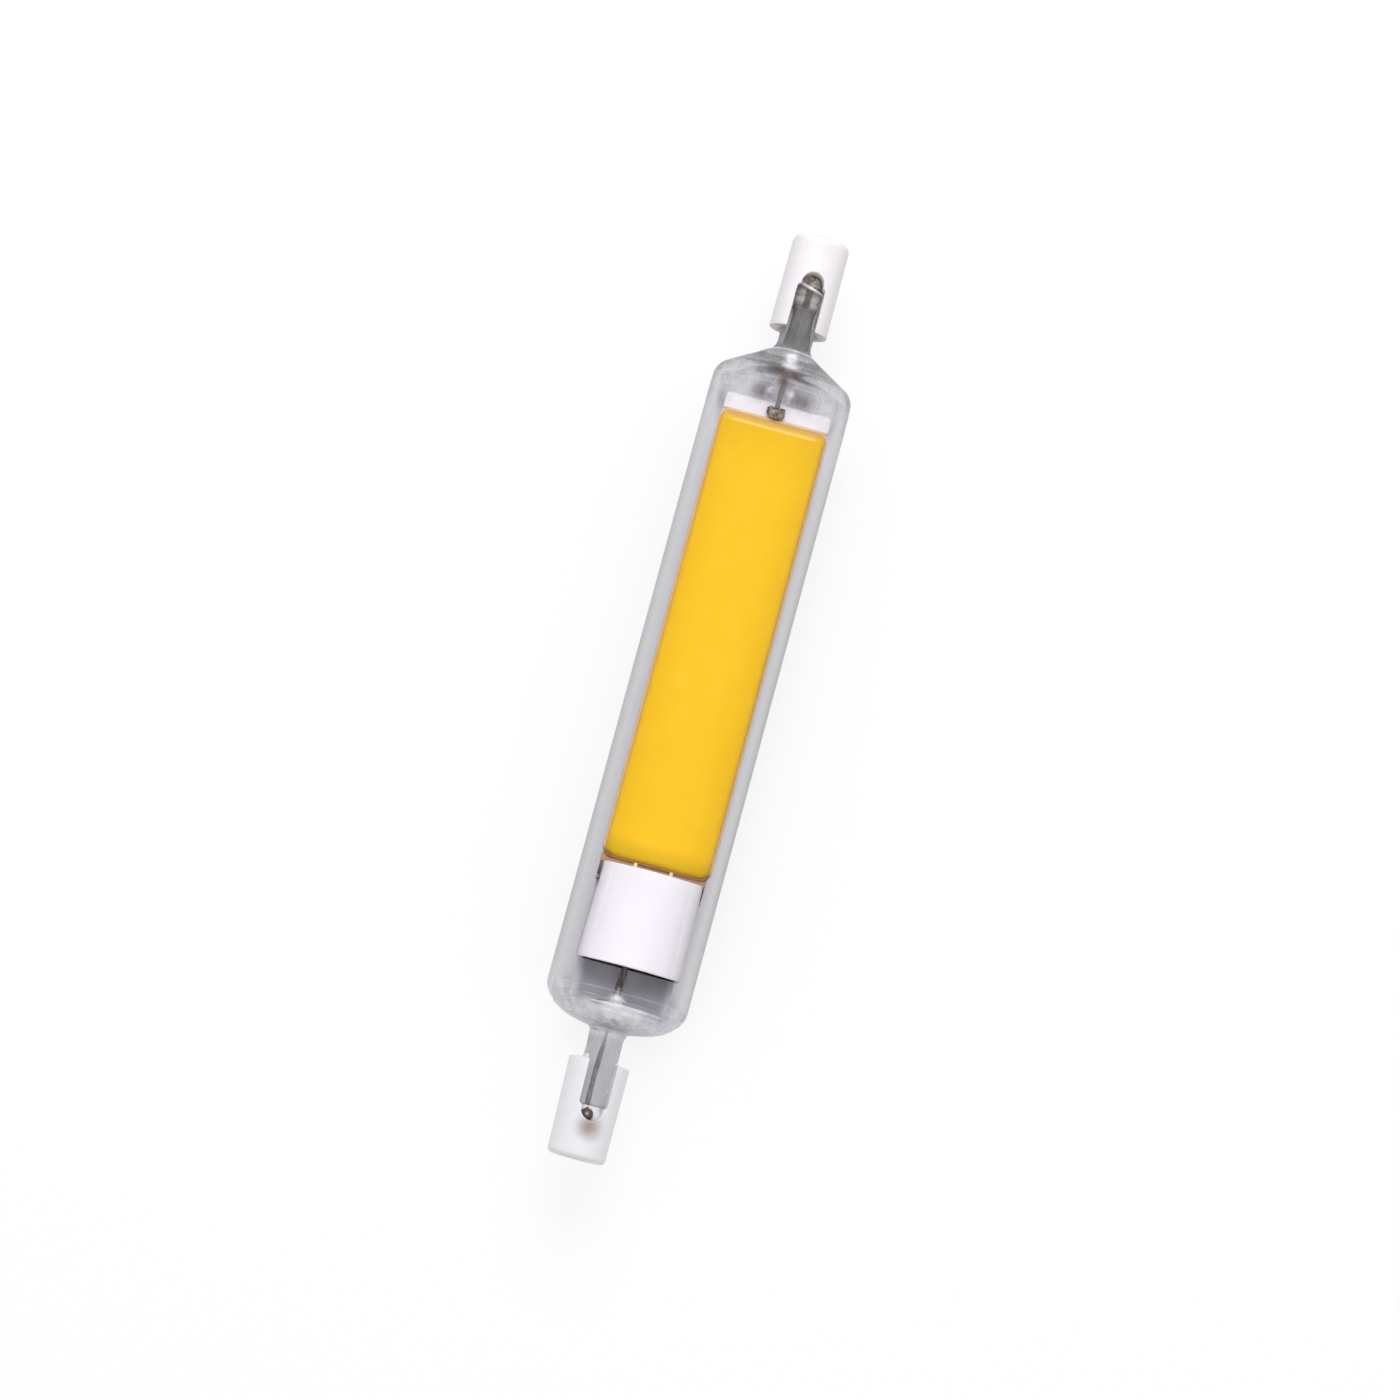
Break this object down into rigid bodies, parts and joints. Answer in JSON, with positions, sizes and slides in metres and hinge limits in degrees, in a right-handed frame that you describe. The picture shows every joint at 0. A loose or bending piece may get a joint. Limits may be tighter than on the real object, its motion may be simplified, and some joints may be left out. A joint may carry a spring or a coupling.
{
  "type": "linear led bulb",
  "caption": "Linear LED bulb with a clear glass tube round a long yellow light strip and its driver, and a slotted ceramic cap with a recessed contact at each end",
  "frame": {"origin": "On the lamp's long axis, halfway between its two ends", "axes": "+X along the lamp to the end away from the driver, +Z square to the light strip's lit face, +Y across the strip"},
  "size_m": [0.118, 0.0178, 0.0178],
  "materials": {
    "clear_glass": "polished",
    "white_ceramic": "satin",
    "cement": "matt",
    "contact_metal": "satin",
    "dark_metal": "matt",
    "wire_metal": "satin",
    "plate_metal": "satin",
    "white_coat": "satin",
    "chip_body": "satin",
    "phosphor": "satin",
    "clear_resin": "glossy",
    "solder": "satin",
    "board_laminate": "matt",
    "cover_plastic": "satin",
    "black_package": "matt",
    "resistor_body": "satin",
    "capacitor_body": "satin"
  },
  "bodies": {
    "root": {"glass_envelope": "clear_glass", "ceramic_cap_light_end": "white_ceramic", "ceramic_cap_driver_end": "white_ceramic", "cap_cement_light_end": "cement", "cap_cement_driver_end": "cement", "contact_light_end": "contact_metal", "contact_driver_end": "contact_metal", "wire_weld_light_end": "dark_metal", "wire_weld_driver_end": "dark_metal", "lead_wire_light_end": "wire_metal", "lead_wire_driver_end": "wire_metal", "strip_plate": "plate_metal", "strip_white_layer": "white_coat", "light_chips": "chip_body", "phosphor_slab": "phosphor", "phosphor_rim": "clear_resin", "solder_light_end": "solder", "solder_driver_end": "solder", "strap_solder_dots": "solder", "link_strap_left": "dark_metal", "link_strap_right": "dark_metal", "jumper_pins": "solder", "driver_board": "board_laminate", "driver_cover": "cover_plastic", "bridge_rectifier": "black_package", "current_chip": "black_package", "fusible_resistor": "resistor_body", "block_capacitor": "capacitor_body", "sense_resistors": "black_package"}
  },
  "joints": []
}
